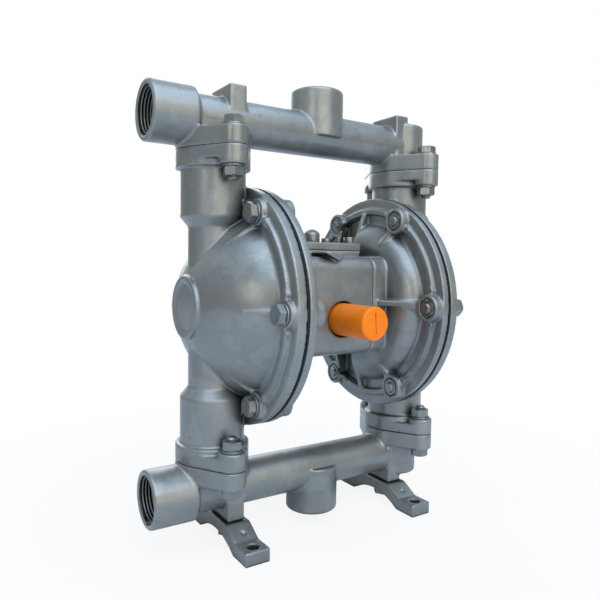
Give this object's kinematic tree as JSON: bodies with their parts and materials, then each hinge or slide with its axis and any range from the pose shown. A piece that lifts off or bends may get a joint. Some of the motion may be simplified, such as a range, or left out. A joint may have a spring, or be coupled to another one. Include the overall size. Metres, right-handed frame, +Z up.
{
  "type": "air-operated double-diaphragm pump",
  "caption": "Air-operated double-diaphragm pump in painted cast aluminium, with threaded manifold ports, foot brackets and a front silencer.",
  "frame": {"origin": "centre of the four foot holes, on the plane that the feet stand on", "axes": "+Z up, X along the pump shaft and the manifolds with the open ports at -X, front with the silencer at -Y"},
  "size_m": [0.258, 0.177, 0.346],
  "materials": {
    "painted_casting": "aluminium casting with silver-grey metallic paint, slightly grainy",
    "zinc_steel": "bright zinc-plated steel",
    "ground_steel": "ground steel",
    "black_rubber": "matt black rubber",
    "red_rubber": "matt red rubber",
    "white_polypropylene": "natural polypropylene",
    "orange_plastic": "moulded orange plastic, satin",
    "bronze": "turned bronze"
  },
  "bodies": {
    "root": {"outlet_manifold": "painted_casting", "inlet_manifold": "painted_casting", "foot_left": "painted_casting", "foot_right": "painted_casting", "foot_bolts": "zinc_steel", "fluid_cap_left": "painted_casting", "fluid_cap_right": "painted_casting", "air_chamber_left": "painted_casting", "air_chamber_right": "painted_casting", "centre_block": "painted_casting", "hub_gasket_left": "black_rubber", "hub_gasket_right": "black_rubber", "hub_screws": "zinc_steel", "valve_cover": "painted_casting", "valve_cover_gasket": "black_rubber", "valve_cover_screws": "zinc_steel", "vent_cap": "painted_casting", "silencer": "orange_plastic", "diaphragm_left": "black_rubber", "diaphragm_right": "black_rubber", "shaft_bushes": "bronze", "shaft_seals": "black_rubber", "clamp_bolts_left": "zinc_steel", "clamp_bolts_right": "zinc_steel", "clamp_washers_left": "zinc_steel", "clamp_washers_right": "zinc_steel", "clamp_nuts_left": "zinc_steel", "clamp_nuts_right": "zinc_steel", "manifold_bolts_top": "zinc_steel", "manifold_bolts_bottom": "zinc_steel", "manifold_nuts_top": "zinc_steel", "manifold_nuts_bottom": "zinc_steel", "manifold_washers_top": "zinc_steel", "manifold_washers_bottom": "zinc_steel", "seat_inlet_left": "white_polypropylene", "seat_inlet_right": "white_polypropylene", "seat_outlet_left": "white_polypropylene", "seat_outlet_right": "white_polypropylene", "cage_inlet_left": "white_polypropylene", "cage_inlet_right": "white_polypropylene", "cage_outlet_left": "white_polypropylene", "cage_outlet_right": "white_polypropylene", "seat_seals": "black_rubber", "spool_sleeve": "bronze", "pilot_bushes": "bronze"},
    "shaft_group": {"shaft": "ground_steel", "outer_plate_left": "zinc_steel", "outer_plate_right": "zinc_steel", "inner_plate_left": "zinc_steel", "inner_plate_right": "zinc_steel", "plate_nuts": "zinc_steel"},
    "pilot": {"pilot_pin": "ground_steel"},
    "spool_group": {"spool": "ground_steel", "spool_seals": "black_rubber"},
    "ball_a": {"ball_inlet_left": "red_rubber"},
    "ball_b": {"ball_inlet_right": "red_rubber"},
    "ball_c": {"ball_outlet_left": "red_rubber"},
    "ball_d": {"ball_outlet_right": "red_rubber"}
  },
  "joints": [
    {"name": "shaft_slide", "type": "slide", "parent": "root", "child": "shaft_group", "axis": [1, 0, 0], "range_m": [-0.008, 0.008], "deforming": ["diaphragm_left", "diaphragm_right"]},
    {"name": "pilot_slide", "type": "slide", "parent": "root", "child": "pilot", "axis": [1, 0, 0], "range_m": [-0.004, 0.004]},
    {"name": "spool_slide", "type": "slide", "parent": "root", "child": "spool_group", "axis": [1, 0, 0], "range_m": [-0.004, 0.004]},
    {"name": "ball_lift_inlet_left", "type": "slide", "parent": "root", "child": "ball_a", "axis": [0, 0, 1], "range_m": [0, 0.0065]},
    {"name": "ball_lift_inlet_right", "type": "slide", "parent": "root", "child": "ball_b", "axis": [0, 0, 1], "range_m": [0, 0.0065]},
    {"name": "ball_lift_outlet_left", "type": "slide", "parent": "root", "child": "ball_c", "axis": [0, 0, 1], "range_m": [0, 0.0065]},
    {"name": "ball_lift_outlet_right", "type": "slide", "parent": "root", "child": "ball_d", "axis": [0, 0, 1], "range_m": [0, 0.0065]}
  ],
  "couplings": [
    {"joint": "pilot_slide", "follows": "shaft_slide", "ratio": 0.5}
  ]
}
